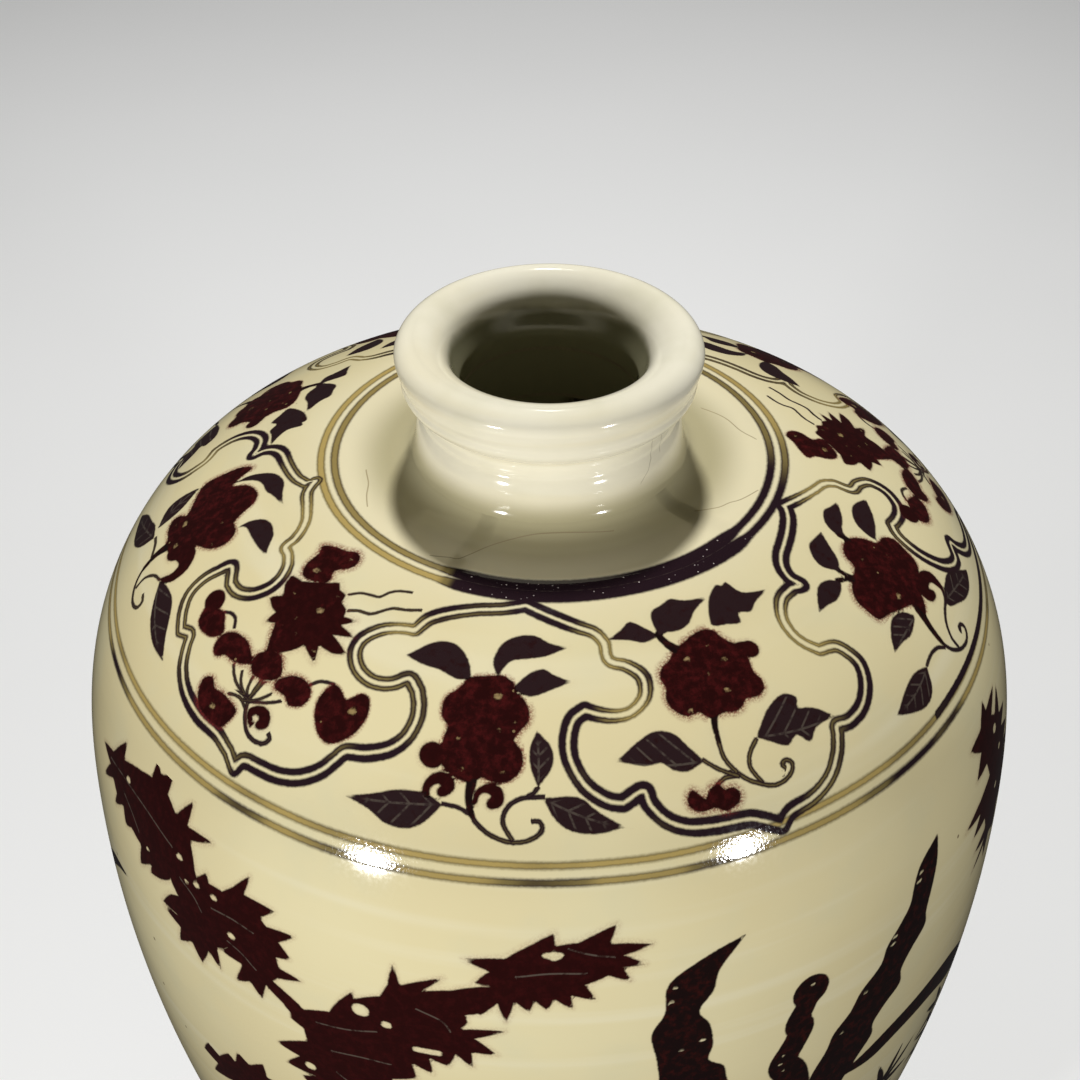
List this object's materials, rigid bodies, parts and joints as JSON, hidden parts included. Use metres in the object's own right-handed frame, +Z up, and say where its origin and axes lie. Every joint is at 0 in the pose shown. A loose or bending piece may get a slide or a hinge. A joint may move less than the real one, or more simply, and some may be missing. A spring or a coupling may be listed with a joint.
{
  "type": "shouldered porcelain vase",
  "caption": "Tall high-shouldered glazed vase with a small rolled mouth, short neck, swelling body and narrow trimmed foot ring.",
  "frame": {"origin": "on the vase's axis, in the plane that the foot ring stands on", "axes": "+Z up along the axis of the vase; +X to the right and -Y towards the viewer of the picture"},
  "size_m": [0.26, 0.26, 0.41],
  "materials": {
    "painted_glaze": "glossy ivory glaze over red and dark brushwork",
    "ivory_glaze": "glossy ivory glaze",
    "fired_slip": "fired slip, glazed over outside"
  },
  "bodies": {
    "root": {"foot_section": "painted_glaze", "foot_seam": "fired_slip", "lower_body": "painted_glaze", "belly_seam": "fired_slip", "upper_body": "painted_glaze", "shoulder_seam": "fired_slip", "shoulder": "painted_glaze", "neck_seam": "fired_slip", "neck": "ivory_glaze", "lip_seam": "fired_slip", "mouth_rim": "ivory_glaze"}
  },
  "joints": []
}
